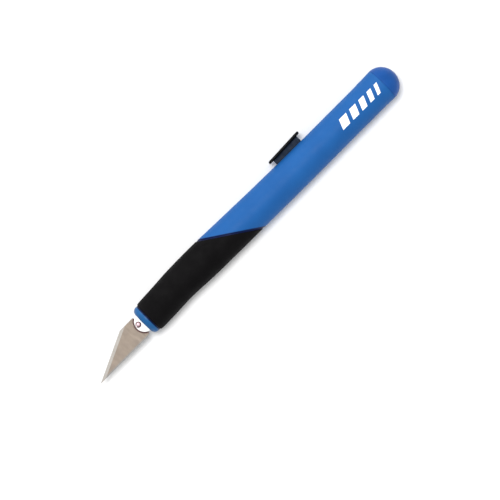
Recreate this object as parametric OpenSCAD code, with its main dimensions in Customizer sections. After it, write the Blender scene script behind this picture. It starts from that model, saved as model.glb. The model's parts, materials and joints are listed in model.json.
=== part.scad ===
// Pen-type hobby craft knife with a retracting fine-point blade.
// It lies on its side: +X runs along the handle to the rear cap, +Y towards the
// thumb button, +Z up. The origin is on the handle's axis at the nose face.
// All sizes are in millimetres.

/* [Handle] */
// Length from the nose face to the end of the cap
handle_l = 124; // [122:0.5:130]
// Radius of the straight rear part of the barrel
rear_r = 6.28; // [6.2:0.01:6.5]
// Radius that the barrel flares to at the cap
flare_r = 6.42; // [6.3:0.01:6.5]
// Place of the seam between barrel and cap, from the nose face
seam_x = 118.1; // [117.5:0.1:119]
// Radius of the front core that carries the grip
core_r = 5.15; // [5.1:0.05:5.3]
// Distance of the front core's axis from the handle's axis, towards the button
core_y = 0.27; // [0.2:0.01:0.3]
// Radius of the front bore that guides the blade holder
front_bore_r = 4.2; // [4.2:0.01:4.3]
// Radius of the rear bore that guides the slide block
rear_bore_r = 4.7; // [4.7:0.01:4.8]

/* [Nose and grip] */
// Length of the nose ring in front of the grip
nose_l = 2.7; // [2.5:0.05:2.9]
// Radius of the nose ring
nose_r = 5.68; // [5.6:0.02:5.76]
// Rounding of the nose ring's front edge
nose_round = 1.8; // [1.5:0.05:2.2]
// Rear edge of the grip on the button side
grip_top_x = 33.3; // [30:0.1:36]
// Rear edge of the grip on the belly side
grip_belly_x = 52.6; // [50:0.1:55]

/* [Blade] */
// Overall length of the blade
blade_l = 40; // [39:0.1:41]
// Width of the blade at its shoulder
blade_w = 8.44; // [8:0.02:8.5]
// Thickness of the blade
blade_t = 0.5; // [0.4:0.05:0.6]
// Length of the blade that stands out of the nose
blade_out = 25.83; // [24:0.01:26]
// Angle between the cutting edge and the spine
edge_angle = 25.1; // [24:0.1:28]
// Width of the ground bevel
bevel_w = 1.15; // [0.6:0.05:1.5]

/* [Blade holder] */
// Width of the holder's jaws
jaw_w = 7.35; // [7:0.05:7.4]
// Thickness of the two jaws and the blade together
holder_t = 3.7; // [3.4:0.05:3.8]
// Distance that the jaws stand out of the nose
jaw_out = 3; // [3:0.05:4]
// Radius of the peg that locates the blade
peg_r = 0.9; // [0.8:0.05:0.95]

/* [Thumb button] */
// Length of the thumb plate
plate_l = 15; // [14:0.1:15]
// Width of the thumb plate
plate_w = 6; // [5:0.1:7]
// Thickness of the thumb plate
plate_t = 1; // [0.7:0.05:1.1]
// Tilt of the thumb plate, rear end higher
plate_tilt = 2.4; // [0:0.1:2.5]
// Length of the neck under the thumb plate
neck_l = 11.8; // [11:0.1:11.8]
// Width of the neck
neck_w = 1.6; // [1.5:0.05:2.3]
// Distance of the button's middle from the nose face, blade out
button_x = 78.1; // [78:0.1:79]
// Travel of the blade
stroke = 27; // [26.5:0.1:27]
// Distance that the button is pressed to free the lock
press = 0.8; // [0.5:0.05:0.8]

/* [Hidden] */
$fn = 64;
eps = 0.02;

blue = "#3070b8";
cap_blue = "#2c5ba6";

loft_sides = 40;
loft_steps = 4;
tube_x = 91;                  // the straight cylinder starts here, inside the loft's end
flare_x = 114;                // and ends here, where the flare starts
seam_bevel = 0.08;            // on both edges of the seam between barrel and cap
// Handle outline: place along the axis, radius, and how far the centre sits
// towards the button. Between the stations the outline is a smooth cubic.
stations = [[nose_l, 5.9, 0.29], [4, 6.12, 0.3], [10, 6.22, 0.5], [18.5, 6.31, 0.9],
  [30, 6.62, 0.72], [42, 6.53, 0.48], [60, 6.37, 0.15], [76, 6.3, 0],
  [tube_x + 1, rear_r / cos(180 / loft_sides) + 0.01, 0]];
bore_step_x = 57;             // the front bore meets the rear bore
skirt_l = 4;                  // nose ring skirt, under the grip
skirt_r = core_r - 0.3;
border_h = 13;                // grip_top_x and grip_belly_x are this far apart in height,
border_y = 0.5;               // on both sides of this height
far = 80;                     // reaches past the whole handle

// Clearances
slide_gap = 0.12;
slit_gap = 0.16;
slit_half = blade_t / 2 + 0.2;

// Blade
spine_y = -4.34;
tip_x = -blade_out;
top_y = spine_y + blade_w;
shoulder_x = tip_x + blade_w / tan(edge_angle);
heel_x = -1.66;
shank_low = -2.55;
shank_high = 3.35;
slot_y = 1;
slot_w = 2.2;
slot_l = 11;
peg_x = -1.68;
edge_land = 0.02;             // half of the thickness left at the cutting edge

// Blade holder
jaw_t = (holder_t - blade_t) / 2;
blade_seat_end = blade_l - blade_out + 0.3;
jaw_end = 26;
bar_w = 5;
bar_end = 63.8;
tongue_end = 71;
tongue_low = -2.3;
tongue_high = 0.6;
tongue_t = 3;
screw_x = 20.5;
screw_r = 0.9;
screw_head_r = 1.7;
screw_head_t = 0.7;
drive_x = 67.3;
drive_y = -0.85;
drive_r = 0.75;

// Slot, rail and lock
slot_half = neck_w / 2 + 0.3;
slot_front = button_x - neck_l / 2 - 0.3;
slot_rear = button_x + neck_l / 2 + stroke + 0.3;
rail_low = 3.2;
rail_t = 0.4;
rail_half = 4.15;
rail_front = 63;
rail_rear = 113.5;
notch_x = 70;
notch_l = 1.8;
notch_half = 3;
leaf_t = 0.25;
leaf_w = 5.6;
rivet_x = 65.6;

// Slide block
block_front = 64;
block_rear = 86.3;
block_r = rear_bore_r - 0.08;
block_top = 2.9;
block_step = 2.5;
pocket_half = 2.15;
leaf_pocket_end = 74.4;
well_r = 1.8;
well_floor = -2.9;

// Button
foot_low = 2.05;
pocket_floor = foot_low - press - 0.05;
foot_top = rail_low - 0.05;
foot_half = 2;
post_r = 0.9;
plate_mid_y = 8.77;           // middle of the plate's underside is plate_t / 2 below
spring_r = 1.35;
wire_r = 0.17;
coils = 5;

// End cap
spigot_l = 4.5;
spigot_r = rear_bore_r - 0.04;
spigot_bore = 3.7;
dome_l = handle_l - seam_x;
dome_back = 0.2;              // the dome's ellipse is centred this far in front of the seam

// Cubic between two stations: a and b are values, sa and sb slopes, t from 0 to 1.
function cubic(a, b, sa, sb, t) =
  a * (1 + 2 * t) * pow(1 - t, 2) + b * t * t * (3 - 2 * t)
  + sa * t * pow(1 - t, 2) - sb * t * t * (1 - t);
// Slope of column k at station i, from its neighbours.
function slope(i, k) =
  let (a = max(i - 1, 0), b = min(i + 1, len(stations) - 1))
  (stations[b][k] - stations[a][k]) / (stations[b][0] - stations[a][0]);
function between(i, k, t) =
  let (step = stations[i + 1][0] - stations[i][0])
  cubic(stations[i][k], stations[i + 1][k], slope(i, k) * step, slope(i + 1, k) * step, t);
rings = [for (i = [0 : len(stations) - 2]) for (s = [0 : loft_steps - 1])
    let (t = s / loft_steps)
    [stations[i][0] + t * (stations[i + 1][0] - stations[i][0]), between(i, 1, t), between(i, 2, t)],
  stations[len(stations) - 1]];

// A tube of round rings, each [x, radius, centre y], closed at both ends.
module loft(rings, sides) {
  n = len(rings);
  points = [for (ring = rings) for (j = [0 : sides - 1])
      [ring[0], ring[2] + ring[1] * cos(360 * j / sides), ring[1] * sin(360 * j / sides)]];
  walls = [for (i = [0 : n - 2]) for (j = [0 : sides - 1])
      [i * sides + j, (i + 1) * sides + j,
       (i + 1) * sides + (j + 1) % sides, i * sides + (j + 1) % sides]];
  front = [[for (j = [0 : sides - 1]) j]];
  rear = [[for (j = [0 : sides - 1]) n * sides - 1 - j]];
  polyhedron(points, concat(front, walls, rear));
}

// A solid of revolution about the X axis, from an outline of [x, radius] points.
module turned(outline) {
  rotate([0, 90, 0]) rotate([0, 0, 90]) rotate_extrude() polygon([for (p = outline) [p[1], p[0]]]);
}

module along_x(x0, x1, r, y = 0) {
  translate([x0, y, 0]) rotate([0, 90, 0]) cylinder(h = x1 - x0, r = r);
}

module along_y(x, y0, y1, r) {
  translate([x, y1, 0]) rotate([90, 0, 0]) cylinder(h = y1 - y0, r = r);
}

// A box from its low corner to its high corner.
module box(low, high) {
  translate(low) cube(high - low);
}

// Everything in front of the oblique rear edge of the grip.
module grip_side() {
  lean = atan((grip_belly_x - grip_top_x) / border_h);
  translate([(grip_top_x + grip_belly_x) / 2, border_y, 0]) rotate([0, 0, lean])
    box([-far, -far, -far], [0, far, far]);
}

module outer_skin() {
  loft(rings, loft_sides);
}

module barrel() {
  color(blue) difference() {
    union() {
      difference() {
        outer_skin();
        grip_side();
      }
      along_x(tube_x, flare_x, rear_r);
      turned([[flare_x, 0], [flare_x, rear_r], [seam_x - seam_bevel, flare_r],
        [seam_x, flare_r - seam_bevel], [seam_x, 0]]);
      along_x(nose_l + skirt_l, bore_step_x, core_r, core_y);
      along_x(nose_l, nose_l + skirt_l, skirt_r, core_y);
    }
    along_x(nose_l - 1, bore_step_x + 1, front_bore_r, core_y);
    along_x(bore_step_x, seam_x + 1, rear_bore_r);
    // slit for the blade, and the slot for the button's neck
    box([nose_l - 1, spine_y - slit_gap, -slit_half], [bore_step_x + 1, top_y + slit_gap, slit_half]);
    box([slot_front, 0, -slot_half], [slot_rear, 8, slot_half]);
    // grooves for the rail, open to the rear
    box([rail_front, rail_low, -rail_half], [seam_x + 1, rail_low + rail_t, rail_half]);
  }
}

module nose_ring() {
  face_r = nose_r - nose_round;
  color("#2f62a4") difference() {
    translate([0, core_y, 0]) union() {
      turned(concat([[0, 0]],
        [for (a = [0 : 6 : 90]) [nose_round * (1 - cos(a)), face_r + nose_round * sin(a)]],
        [[nose_l, nose_r], [nose_l, 0]]));
      difference() {
        along_x(nose_l - 0.5, nose_l + skirt_l, core_r);
        along_x(nose_l, nose_l + skirt_l + 1, skirt_r);
      }
    }
    mouth();
  }
}

// The holder's mouth with the blade's slit across it.
module mouth() {
  half = jaw_w / 2 + slide_gap;
  z = holder_t / 2 + slide_gap;
  box([-1, core_y - half, -z], [nose_l + 1, core_y + half, z]);
  box([-1, spine_y - slit_gap, -slit_half], [nose_l + 1, top_y + slit_gap, slit_half]);
}

module front_grip() {
  color("#1b181a") difference() {
    intersection() {
      outer_skin();
      grip_side();
    }
    along_x(0, bore_step_x, core_r, core_y);
  }
}

module lock_rail() {
  color("silver") difference() {
    box([rail_front, rail_low, -rail_half], [rail_rear, rail_low + rail_t, rail_half]);
    box([slot_front, 0, -slot_half], [slot_rear, 8, slot_half]);
    for (x = [notch_x, notch_x + stroke])
      box([x - notch_l / 2, 0, -notch_half], [x + notch_l / 2, 8, notch_half]);
  }
}

module end_cap() {
  dome_a = dome_l + dome_back;
  first = asin((dome_back + seam_bevel) / dome_a);
  color(cap_blue) translate([seam_x, 0, 0]) difference() {
    union() {
      turned(concat([[0, 0], [0, flare_r - 1.5 * seam_bevel]],
        [for (i = [0 : 14]) let (a = first + (90 - first) * i / 14)
          [dome_a * sin(a) - dome_back, flare_r * cos(a)]]));
      along_x(-spigot_l, 0.5, spigot_r);
    }
    along_x(-spigot_l - 1, dome_l / 2, spigot_bore);
  }
}

// Side view of one jaw: round front end, straight sides.
module jaw_outline(x1) {
  r = jaw_w / 2;
  translate([r - jaw_out, core_y]) circle(r);
  translate([r - jaw_out, core_y - r]) square([x1 - r + jaw_out, jaw_w]);
}

module blade_holder() {
  low = -holder_t / 2;
  color("white") difference() {
    union() {
      translate([0, 0, blade_t / 2]) linear_extrude(jaw_t) jaw_outline(jaw_end);
      box([blade_seat_end, core_y - jaw_w / 2, -blade_t / 2],
        [jaw_end, core_y + jaw_w / 2, blade_t / 2 + eps]);
      box([jaw_end, core_y - bar_w / 2, low], [bar_end, core_y + bar_w / 2, -low]);
      box([bar_end - 1, tongue_low, -tongue_t / 2], [tongue_end, tongue_high, tongue_t / 2]);
    }
    translate([peg_x, slot_y, 0]) cylinder(h = 5, r = peg_r + 0.1);
    translate([screw_x, core_y, -1]) cylinder(h = 2.2, r = screw_r);
    translate([drive_x, drive_y, -5]) cylinder(h = 10, r = drive_r);
    // moulding pockets along the bar, both faces
    for (i = [0 : 3]) for (side = [-1, 1])
      translate([jaw_end + 3 + 9 * i, core_y - 1.5, side > 0 ? 0.6 : low - 1]) cube([7, 3, 2.25]);
  }
}

module jaw_plate() {
  color("white") difference() {
    translate([0, 0, -holder_t / 2]) linear_extrude(jaw_t) jaw_outline(jaw_end - 0.1);
    translate([peg_x, slot_y, -3]) cylinder(h = 3, r = peg_r);
    translate([screw_x, core_y, -3]) cylinder(h = 3, r = screw_r);
    translate([screw_x, core_y, -3]) cylinder(h = 3 - holder_t / 2 + screw_head_t, r = screw_head_r);
  }
}

module blade() {
  end_x = blade_l - blade_out;
  drop = 0.75;
  edge_l = (shoulder_x - tip_x) / cos(edge_angle);
  color("#b5a796") difference() {
    translate([0, 0, -blade_t / 2]) linear_extrude(blade_t) difference() {
      polygon([[tip_x, spine_y], [heel_x + 0.3, spine_y], [heel_x + 0.6, spine_y + drop],
        [heel_x + 1.2, shank_low], [end_x, shank_low], [end_x, shank_high],
        [heel_x + 0.5, shank_high], [heel_x, top_y], [shoulder_x, top_y]]);
      for (x = [peg_x, peg_x + slot_l]) translate([x, slot_y]) circle(slot_w / 2);
      translate([peg_x, slot_y - slot_w / 2]) square([slot_l, slot_w]);
    }
    // the two ground bevels along the cutting edge
    for (side = [0, 1]) mirror([0, 0, side])
      translate([tip_x, spine_y, 0]) rotate([0, 0, edge_angle]) rotate([90, 0, 90])
        translate([0, 0, -4]) linear_extrude(edge_l + 8)
          polygon([[-bevel_w, blade_t / 2], [1, edge_land - (blade_t / 2 - edge_land) / bevel_w],
            [1, 1], [-bevel_w, 1]]);
  }
}

module blade_peg() {
  color("#c9b3b0") translate([peg_x, slot_y, -holder_t / 2])
    cylinder(h = holder_t - 0.15, r = peg_r);
}

module jaw_screw() {
  low = -holder_t / 2;
  color("silver") translate([screw_x, core_y, 0]) difference() {
    union() {
      translate([0, 0, low]) cylinder(h = screw_head_t, r = screw_head_r);
      translate([0, 0, low + screw_head_t - eps]) cylinder(h = -low - screw_head_t + 1.2, r = screw_r);
    }
    for (a = [0, 90]) rotate([0, 0, a]) translate([-0.9, -0.2, low - 0.5]) cube([1.8, 0.4, 0.9]);
  }
}

module slide_block() {
  color("#34363c") difference() {
    intersection() {
      along_x(block_front, block_rear, block_r);
      box([block_front - 1, -6, -6], [block_rear + 1, block_top, 6]);
    }
    box([block_front - 1, block_step, -6], [notch_x - 2.6, 6, 6]);
    // fork for the holder's tongue
    box([block_front - 1, tongue_low - 0.1, -tongue_t / 2],
      [tongue_end + 0.2, tongue_high + 0.1, tongue_t / 2]);
    translate([drive_x, drive_y, -6]) cylinder(h = 12, r = drive_r);
    // pockets for the leaf, the button's foot and its spring
    box([notch_x - 2.6, pocket_floor, -leaf_w / 2 - 0.1], [leaf_pocket_end, 6, leaf_w / 2 + 0.1]);
    box([button_x - neck_l / 2, pocket_floor, -pocket_half],
      [button_x + neck_l / 2 + 0.2, 6, pocket_half]);
    along_y(button_x, well_floor, 3, well_r);
    along_y(rivet_x, 1, 3, 0.45);
  }
}

module drive_pin() {
  half = sqrt(pow(block_r, 2) - pow(drive_y - drive_r, 2)) - 0.15;
  color("silver") translate([drive_x, drive_y, -half]) cylinder(h = 2 * half, r = drive_r);
}

module lock_leaf() {
  path = [[block_front + 0.4, block_step], [notch_x - 2.6, block_step], [notch_x - 0.75, 2.72],
    [notch_x, 3.22], [notch_x + 0.75, 2.72], [notch_x + 1.9, 1.72], [notch_x + 4.3, 1.72]];
  top = [for (i = [len(path) - 1 : -1 : 0]) path[i] + [0, leaf_t]];
  color("#c8c8c4") difference() {
    translate([0, 0, -leaf_w / 2]) linear_extrude(leaf_w) polygon(concat(path, top));
    along_y(rivet_x, 1, 4, 0.45);
  }
}

module leaf_rivet() {
  color("silver") {
    along_y(rivet_x, 1, block_step + leaf_t + eps, 0.45);
    along_y(rivet_x, block_step + leaf_t, block_step + leaf_t + 0.3, 0.9);
  }
}

// Moves its children to the middle of the tilted thumb plate.
module on_plate() {
  translate([button_x - 0.1, plate_mid_y, 0]) rotate([0, 0, plate_tilt]) children();
}

module thumb_plate() {
  r = 1.2;
  x = plate_l / 2 - r;
  z = plate_w / 2 - r;
  color("#131315") on_plate() rotate([90, 0, 0]) translate([0, 0, -plate_t / 2])
    linear_extrude(plate_t) {
      square([plate_l, 2 * z], center = true);
      square([2 * x, plate_w], center = true);
      for (i = [-1, 1]) for (j = [-1, 1]) translate([i * x, j * z]) circle(r);
    }
}

module button_neck() {
  half = neck_l / 2;
  groove = 0.35;
  color("#33353b") difference() {
    union() {
      box([button_x - half, foot_low, -neck_w / 2], [button_x + half, 10, neck_w / 2]);
      box([button_x - half + 0.15, foot_low, -foot_half], [button_x + half - 0.15, foot_top, foot_half]);
      along_y(button_x, foot_low - 1, foot_low + 0.1, post_r);
    }
    on_plate() translate([-20, -plate_t / 2, -5]) cube([40, 10, 10]);
    // grooves down both sides near the ends
    for (x = [-1, 1]) for (z = [-1, 1])
      translate([button_x + x * (half - 1.2) - groove / 2, rail_low + 1, z * neck_w / 2 - groove / 2])
        cube([groove, 8, groove]);
  }
}

module button_spring() {
  turns = 16;
  sides = 6;
  low = well_floor + wire_r + 0.01;
  high = foot_low - wire_r - 0.01;
  n = coils * turns;
  centre = [for (i = [0 : n])
      [spring_r * cos(360 * i / turns), low + (high - low) * i / n, spring_r * sin(360 * i / turns)]];
  points = [for (i = [0 : n]) for (j = [0 : sides - 1])
      let (out = [cos(360 * i / turns), 0, sin(360 * i / turns)], a = 360 * j / sides)
      centre[i] + wire_r * (out * cos(a) + [0, 1, 0] * sin(a)) + [button_x, 0, 0]];
  walls = [for (i = [0 : n - 1]) for (j = [0 : sides - 1])
      [i * sides + j, (i + 1) * sides + j,
       (i + 1) * sides + (j + 1) % sides, i * sides + (j + 1) % sides]];
  ends = [[for (j = [0 : sides - 1]) j], [for (j = [sides - 1 : -1 : 0]) n * sides + j]];
  color("silver") polyhedron(points, concat(ends, walls));
}

barrel();
nose_ring();
front_grip();
lock_rail();
end_cap();
blade_holder();
jaw_plate();
blade();
blade_peg();
jaw_screw();
slide_block();
drive_pin();
lock_leaf();
leaf_rivet();
thumb_plate();
button_neck();
button_spring();
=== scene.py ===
import bpy
import bmesh
import json
import math
import numpy as np
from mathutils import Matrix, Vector

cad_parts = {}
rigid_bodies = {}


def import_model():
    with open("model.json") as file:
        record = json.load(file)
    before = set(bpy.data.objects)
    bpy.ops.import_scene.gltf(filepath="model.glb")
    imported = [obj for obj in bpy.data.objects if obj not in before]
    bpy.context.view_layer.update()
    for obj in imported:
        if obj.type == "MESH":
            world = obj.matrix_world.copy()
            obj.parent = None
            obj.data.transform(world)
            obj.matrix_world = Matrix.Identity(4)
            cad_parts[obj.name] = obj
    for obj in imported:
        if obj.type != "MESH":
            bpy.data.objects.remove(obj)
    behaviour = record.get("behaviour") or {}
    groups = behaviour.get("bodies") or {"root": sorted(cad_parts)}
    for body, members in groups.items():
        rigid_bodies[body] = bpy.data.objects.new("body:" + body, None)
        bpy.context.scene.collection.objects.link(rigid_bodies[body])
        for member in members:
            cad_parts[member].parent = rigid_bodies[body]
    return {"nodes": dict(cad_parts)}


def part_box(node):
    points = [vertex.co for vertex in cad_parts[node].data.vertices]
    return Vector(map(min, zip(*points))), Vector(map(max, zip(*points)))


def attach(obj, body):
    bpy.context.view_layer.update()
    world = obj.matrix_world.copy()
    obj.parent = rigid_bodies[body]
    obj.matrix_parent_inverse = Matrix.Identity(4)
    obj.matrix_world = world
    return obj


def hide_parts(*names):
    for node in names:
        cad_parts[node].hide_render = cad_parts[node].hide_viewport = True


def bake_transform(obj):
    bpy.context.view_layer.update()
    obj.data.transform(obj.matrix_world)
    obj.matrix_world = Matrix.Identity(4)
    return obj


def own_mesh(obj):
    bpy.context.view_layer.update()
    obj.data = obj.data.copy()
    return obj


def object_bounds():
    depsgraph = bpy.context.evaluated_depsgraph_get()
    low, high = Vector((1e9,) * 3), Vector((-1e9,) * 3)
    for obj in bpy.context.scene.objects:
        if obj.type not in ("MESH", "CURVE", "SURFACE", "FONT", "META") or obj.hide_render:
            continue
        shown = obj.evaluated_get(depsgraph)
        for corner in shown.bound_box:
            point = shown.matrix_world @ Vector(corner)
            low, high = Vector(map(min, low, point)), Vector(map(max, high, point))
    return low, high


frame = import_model()
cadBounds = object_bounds()

# Lengths below are in millimetres, and become metres when a mesh is made.
# The handle lies along X, its thumb button towards +Y, and the camera looks down Z.
mm = 0.001
weldGap, shortEdge = 0.002 * mm, 0.0005 * mm
fullTurn = 2 * np.pi


def corner(node, which, axis):
    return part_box(node)[which][axis] / mm


# Quads between neighbouring rows and columns of a grid of points, which may close on itself
# either way. Keep leaves quads out.
def gridQuads(rows, cols, wrapRows=False, wrapCols=True, keep=None):
    i, j = np.meshgrid(np.arange(rows - (not wrapRows)), np.arange(cols - (not wrapCols)),
                       indexing="ij")
    below, beside = (i + 1) % rows, (j + 1) % cols
    quads = np.stack([i * cols + j, below * cols + j, below * cols + beside, i * cols + beside], -1)
    return quads.reshape(-1, 4) if keep is None else quads[keep]


# One object from several grids of points. Points that meet are welded, so seams and poles close.
def makePiece(name, grids, body, material, replaced=(), sharpAngle=38):
    points, quads, start = [], [], 0
    for grid, faces in grids:
        flat = grid.reshape(-1, 3)
        points.append(flat)
        quads.append(faces + start)
        start += len(flat)
    mesh = bpy.data.meshes.new(name)
    mesh.from_pydata((np.concatenate(points) * mm).tolist(), [], np.concatenate(quads).tolist())
    work = bmesh.new()
    work.from_mesh(mesh)
    bmesh.ops.remove_doubles(work, verts=work.verts, dist=weldGap)
    bmesh.ops.dissolve_degenerate(work, edges=work.edges, dist=shortEdge)
    bmesh.ops.recalc_face_normals(work, faces=work.faces)
    loose = [v for v in work.verts if not v.link_faces]
    bmesh.ops.delete(work, geom=loose, context="VERTS")
    openEdges = sum(1 for e in work.edges if len(e.link_faces) != 2)
    work.to_mesh(mesh)
    print(name, len(mesh.vertices), "points,", openEdges, "open edges, volume",
          round(work.calc_volume() / mm ** 3, 1), "mm3")
    work.free()
    mesh.shade_smooth()
    mesh.set_sharp_from_angle(angle=math.radians(sharpAngle))
    piece = bpy.data.objects.new(name, mesh)
    bpy.context.scene.collection.objects.link(piece)
    mesh.materials.append(material)
    if body:
        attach(piece, body)
    if replaced:
        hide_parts(*replaced)
    return piece


# A ring of points round the X axis: angle 0 is towards +Y, a quarter turn is towards +Z.
def ring(x, radius, angles, centre=0.0):
    return np.stack([x + 0 * angles, centre + radius * np.cos(angles), radius * np.sin(angles)], -1)


# A profile of (x, radius) points turned about the X axis.
def turned(profile, columns=96):
    angles = np.arange(columns) * fullTurn / columns
    return np.array([ring(x, radius, angles) for x, radius in profile])


# An sRGB hex colour as the linear values that a shader takes.
def linear(hexColour):
    srgb = np.array([int(hexColour[i:i + 2], 16) / 255 for i in (1, 3, 5)])
    return (*np.where(srgb <= 0.04045, srgb / 12.92, ((srgb + 0.055) / 1.055) ** 2.4).tolist(), 1.0)


# Adds a node with its settings, and links its inputs to other nodes' outputs.
def addNode(tree, kind, settings, links=()):
    node = tree.nodes.new("ShaderNode" + kind)
    for key, value in settings.items():
        if isinstance(key, int) or key in node.inputs:
            node.inputs[key].default_value = value
        else:
            setattr(node, key, value)
    for key, output in dict(links).items():
        tree.links.new(output, node.inputs[key])
    return node


# An empty material with its shader, output and Object coordinates.
def newMaterial(name, shaderSettings):
    material = bpy.data.materials.new(name)
    material.use_nodes = True
    tree = material.node_tree
    tree.nodes.clear()
    shader = addNode(tree, "BsdfPrincipled", shaderSettings)
    addNode(tree, "OutputMaterial", {}, {"Surface": shader.outputs["BSDF"]})
    place = addNode(tree, "TexCoord", {}).outputs["Object"]
    return material, tree, shader, place


# A colour with another one mixed in within strip["width"] of a plane or a circle: the plane goes
# through strip["point"] and faces strip["inward"], the circle lies round the point, seen along Z.
def stripColour(tree, place, colour, strip):
    offset = addNode(tree, "VectorMath", {"operation": "SUBTRACT", 1: strip["point"]}, {0: place})
    if "inward" in strip:
        away = addNode(tree, "VectorMath", {"operation": "DOT_PRODUCT", 1: strip["inward"]},
                       {0: offset.outputs["Vector"]})
    else:
        flat = addNode(tree, "VectorMath", {"operation": "MULTIPLY", 1: (1, 1, 0)},
                       {0: offset.outputs["Vector"]})
        length = addNode(tree, "VectorMath", {"operation": "LENGTH"}, {0: flat.outputs["Vector"]})
        away = addNode(tree, "Math", {"operation": "SUBTRACT", 1: strip["radius"] * mm},
                       {0: length.outputs["Value"]})
        away = addNode(tree, "Math", {"operation": "ABSOLUTE"}, {0: away.outputs["Value"]})
    beyond = addNode(tree, "MapRange", {"From Min": (strip["width"] - strip["soft"]) * mm,
                                        "From Max": (strip["width"] + strip["soft"]) * mm,
                                        "interpolation_type": "SMOOTHSTEP"},
                     {"Value": away.outputs["Value"]})
    mixed = addNode(tree, "Mix", {"data_type": "RGBA", 6: linear(strip["colour"])},
                    {0: beyond.outputs["Result"], 7: colour})
    return mixed.outputs[2]


noiseBand = (0.35, 0.65)  # most of a noise texture's values lie between these


# Moulded plastic or rubber: two close tones in soft clouds, a fine grain from the mould as bump,
# and a gloss that changes a little where fingers have polished it. The real grain is under 0.1 mm
# and would not show, so grainSize is a few times coarser.
def mouldedMaterial(name, look):
    material, tree, shader, place = newMaterial(name, {
        "IOR": look["ior"], "Specular IOR Level": look.get("gloss", 0.5), **look.get("extra", {})})
    clouds = addNode(tree, "TexNoise", {"Scale": 1 / (look["cloudSize"] * mm), "Detail": 3.0},
                     {"Vector": place})
    tone = addNode(tree, "ValToRGB", {}, {"Fac": clouds.outputs["Fac"]})
    tone.color_ramp.elements[0].position = noiseBand[0]
    tone.color_ramp.elements[0].color = linear(look["shade"])
    tone.color_ramp.elements[1].position = noiseBand[1]
    tone.color_ramp.elements[1].color = linear(look["colour"])
    colour = tone.outputs["Color"]
    for strip in look.get("strips", []):
        colour = stripColour(tree, place, colour, strip)
    tree.links.new(colour, shader.inputs["Base Color"])
    wear = addNode(tree, "TexNoise", {"Scale": 1 / (look["wearSize"] * mm), "Detail": 4.0},
                   {"Vector": place})
    rough = addNode(tree, "MapRange", {"From Min": noiseBand[0], "From Max": noiseBand[1],
                                       "To Min": look["roughness"][0], "To Max": look["roughness"][1]},
                    {"Value": wear.outputs["Fac"]})
    tree.links.new(rough.outputs["Result"], shader.inputs["Roughness"])
    grain = addNode(tree, "TexNoise", {"Scale": 1 / (look["grainSize"] * mm), "Detail": 2.0,
                                       "Roughness": 0.55}, {"Vector": place})
    bump = addNode(tree, "Bump", {"Strength": 1.0, "Distance": look["grainDepth"] * mm},
                   {"Height": grain.outputs["Fac"]})
    tree.links.new(bump.outputs["Normal"], shader.inputs["Normal"])
    return material


scratchShare = 0.45  # the rest of the steel's tone comes from the clouds
steelBand = (0.38, 0.62)


# Steel: fine straight scratches from grinding, stretched along one axis, over soft clouds.
# Real scratches are about 0.02 mm wide, so lineSize is drawn coarser to show at all.
def groundSteel(name, look):
    material, tree, shader, place = newMaterial(name, {"Metallic": 1.0})
    lay = addNode(tree, "Mapping", {"Rotation": (0, 0, look["layTurn"]), "Scale": look["layScale"]},
                  {"Vector": place})
    lines = addNode(tree, "TexNoise", {"Scale": 1 / (look["lineSize"] * mm), "Detail": 3.0},
                    {"Vector": lay.outputs["Vector"]})
    clouds = addNode(tree, "TexNoise", {"Scale": 1 / (look["cloudSize"] * mm), "Detail": 3.0},
                     {"Vector": place})
    cloudPart = addNode(tree, "Math", {"operation": "MULTIPLY", 1: 1 - scratchShare},
                        {0: clouds.outputs["Fac"]})
    blend = addNode(tree, "Math", {"operation": "MULTIPLY_ADD", 1: scratchShare},
                    {0: lines.outputs["Fac"], 2: cloudPart.outputs["Value"]})
    tone = addNode(tree, "ValToRGB", {}, {"Fac": blend.outputs["Value"]})
    tone.color_ramp.elements[0].position = steelBand[0]
    tone.color_ramp.elements[0].color = linear(look["shade"])
    tone.color_ramp.elements[1].position = steelBand[1]
    tone.color_ramp.elements[1].color = linear(look["colour"])
    colour = tone.outputs["Color"]
    for strip in look.get("strips", []):
        colour = stripColour(tree, place, colour, strip)
    tree.links.new(colour, shader.inputs["Base Color"])
    rough = addNode(tree, "MapRange", {"From Min": noiseBand[0], "From Max": noiseBand[1],
                                       "To Min": look["roughness"][0], "To Max": look["roughness"][1]},
                    {"Value": lines.outputs["Fac"]})
    tree.links.new(rough.outputs["Result"], shader.inputs["Roughness"])
    bump = addNode(tree, "Bump", {"Strength": 1.0, "Distance": look["lineDepth"] * mm},
                   {"Height": lines.outputs["Fac"]})
    tree.links.new(bump.outputs["Normal"], shader.inputs["Normal"])
    return material


seamX = corner("barrel", 1, 0)
noseLength = corner("front_grip", 0, 0)
handle = {
    # place along the axis, radius, and how far the centre sits towards the button
    "stations": [[noseLength, 5.9, 0.29], [4, 6.12, 0.3], [10, 6.22, 0.5], [18.5, 6.31, 0.9],
                 [30, 6.62, 0.72], [42, 6.53, 0.48], [60, 6.37, 0.15], [76, 6.3, 0], [92, 6.28, 0]],
    "flareStart": 114, "flareRadius": 6.42, "seamEdge": 0.08,
    "coreRadius": 5.15, "coreCentre": 0.27, "skirtRadius": 4.85, "skirtLength": 4,
    "frontBore": 4.2, "rearBore": 4.7, "boreStep": 57,
    "borderTop": 33.3, "borderBelly": 52.6, "borderHeight": 13, "borderMiddle": 0.5,
    "bladeSlitHalf": 0.45, "bladeSlitLow": -4.5, "bladeSlitHigh": 4.26,
}
stations = np.array(handle["stations"])


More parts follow.
